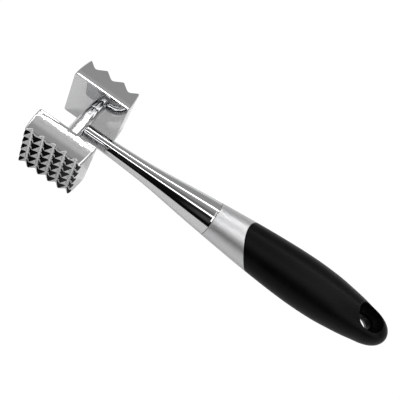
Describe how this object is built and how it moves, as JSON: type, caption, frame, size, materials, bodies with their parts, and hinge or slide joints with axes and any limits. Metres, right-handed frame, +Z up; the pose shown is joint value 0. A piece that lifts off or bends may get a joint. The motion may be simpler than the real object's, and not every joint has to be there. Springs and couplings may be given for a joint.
{
  "type": "meat mallet",
  "caption": "Two-faced meat mallet: chromed head with fine and coarse pyramid faces, tapered chromed stem, satin ferrule and black grip with a hanging hole.",
  "frame": {"origin": "middle of the object's footprint, on the surface that the head lies on", "axes": "+X along the handle from the head to the hanging hole, +Y from the fine face to the coarse face, +Z up from the resting side of the head"},
  "size_m": [0.2436, 0.065, 0.037],
  "materials": {
    "head_chrome": "bright chrome plate over a die-cast block, polished, with faint casting waviness",
    "rod_chrome": "bright chrome plate on a turned rod",
    "stem_chrome": "mirror-polished chrome plate",
    "ferrule_satin": "satin, fine brushing around the sleeve",
    "grip_black": "semi-gloss moulded black with a very fine grain",
    "core_plastic": "plain moulded core",
    "bush_nylon": "natural nylon",
    "plated_steel": "bright zinc plate",
    "insert_brass": "turned brass",
    "gasket_rubber": "black sealing ring"
  },
  "bodies": {
    "root": {"fine_block": "head_chrome", "coarse_block": "head_chrome", "cross_rod": "rod_chrome", "tie_rod": "plated_steel", "stem": "stem_chrome", "stem_bush": "bush_nylon", "lock_washer": "plated_steel", "stem_nut": "plated_steel", "seam_gasket": "gasket_rubber", "ferrule": "ferrule_satin", "grip_core": "core_plastic", "grip_insert": "insert_brass", "grip_shell": "grip_black"}
  },
  "joints": []
}
